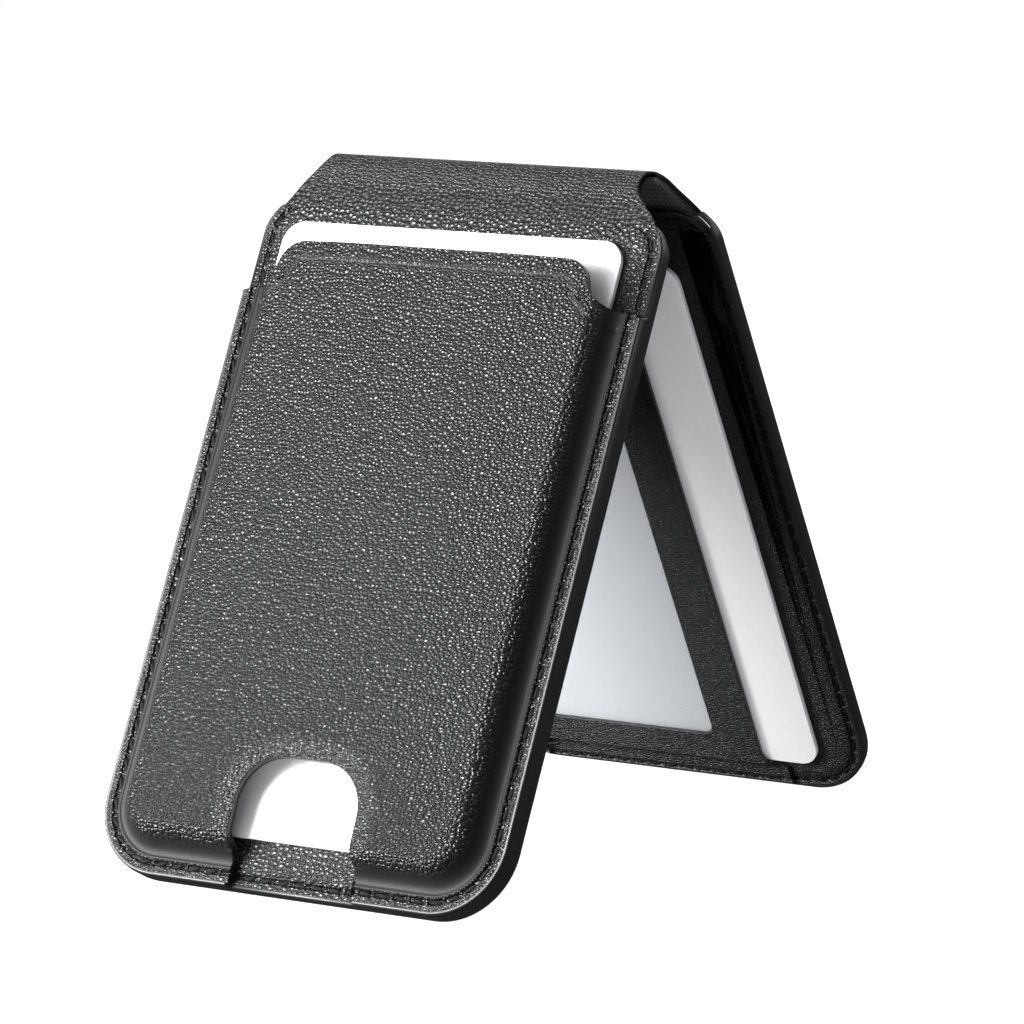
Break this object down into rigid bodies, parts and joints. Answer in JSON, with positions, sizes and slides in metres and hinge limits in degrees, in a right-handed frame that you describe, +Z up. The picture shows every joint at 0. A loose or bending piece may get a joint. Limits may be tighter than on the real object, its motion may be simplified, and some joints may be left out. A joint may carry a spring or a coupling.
{
  "type": "folding phone wallet case",
  "caption": "Black leather folding phone wallet that stands as an A-frame: moulded card pocket in front, windowed card pocket inside, magnetic rear face.",
  "frame": {"origin": "on the table below the middle of the standing wallet's box", "axes": "+X along the fold, to the right as seen from the moulded pocket; -Y towards the moulded pocket's side; +Z up"},
  "size_m": [0.0632, 0.1032, 0.0924],
  "materials": {
    "pebbled_leather": "pebbled black PU leather, semi-gloss",
    "lining_leather": "fine-grain black PU leather, satin",
    "pocket_cloth": "thin woven polyester, dull black",
    "stiffening_board": "grey fibreboard, matt",
    "thread": "bonded black polyester thread",
    "card": "blank white PVC card, satin",
    "clear_film": "clear PVC film, glossy",
    "magnet": "nickel-plated neodymium magnet",
    "steel": "bare sheet steel",
    "foil": "thin shielding foil"
  },
  "bodies": {
    "rear_panel": {"rear_leather": "pebbled_leather", "magnet_carrier": "stiffening_board", "magnet_ring": "magnet", "magnet_shunt": "steel", "alignment_magnet": "magnet", "closure_plates": "steel", "shield_foil": "foil", "rear_lining": "lining_leather", "window_frame": "lining_leather", "window_film": "clear_film", "rear_stitching": "thread", "spine_leather": "pebbled_leather", "spine_backing": "pocket_cloth"},
    "front_panel": {"front_leather": "pebbled_leather", "front_board": "stiffening_board", "front_lining": "lining_leather", "closure_magnets": "magnet", "pocket_leather": "pebbled_leather", "pocket_lining": "pocket_cloth", "front_stitching": "thread"},
    "pocket_card": {"pocket_card": "card"},
    "id_card": {"id_card": "card"}
  },
  "joints": [
    {"name": "fold_hinge", "type": "hinge", "parent": "rear_panel", "child": "front_panel", "pos_m": [0, -0.00109, 0.09095], "axis": [-1, 0, 0], "range_deg": [-55.26, 124.72], "deforming": ["spine_leather", "spine_backing"]},
    {"name": "pocket_card_slide", "type": "slide", "parent": "front_panel", "child": "pocket_card", "axis": [0, 0.4493, 0.8934], "range_m": [0, 0.083]},
    {"name": "id_card_slide", "type": "slide", "parent": "rear_panel", "child": "id_card", "axis": [1, 0, 0], "range_m": [0, 0.045]}
  ]
}
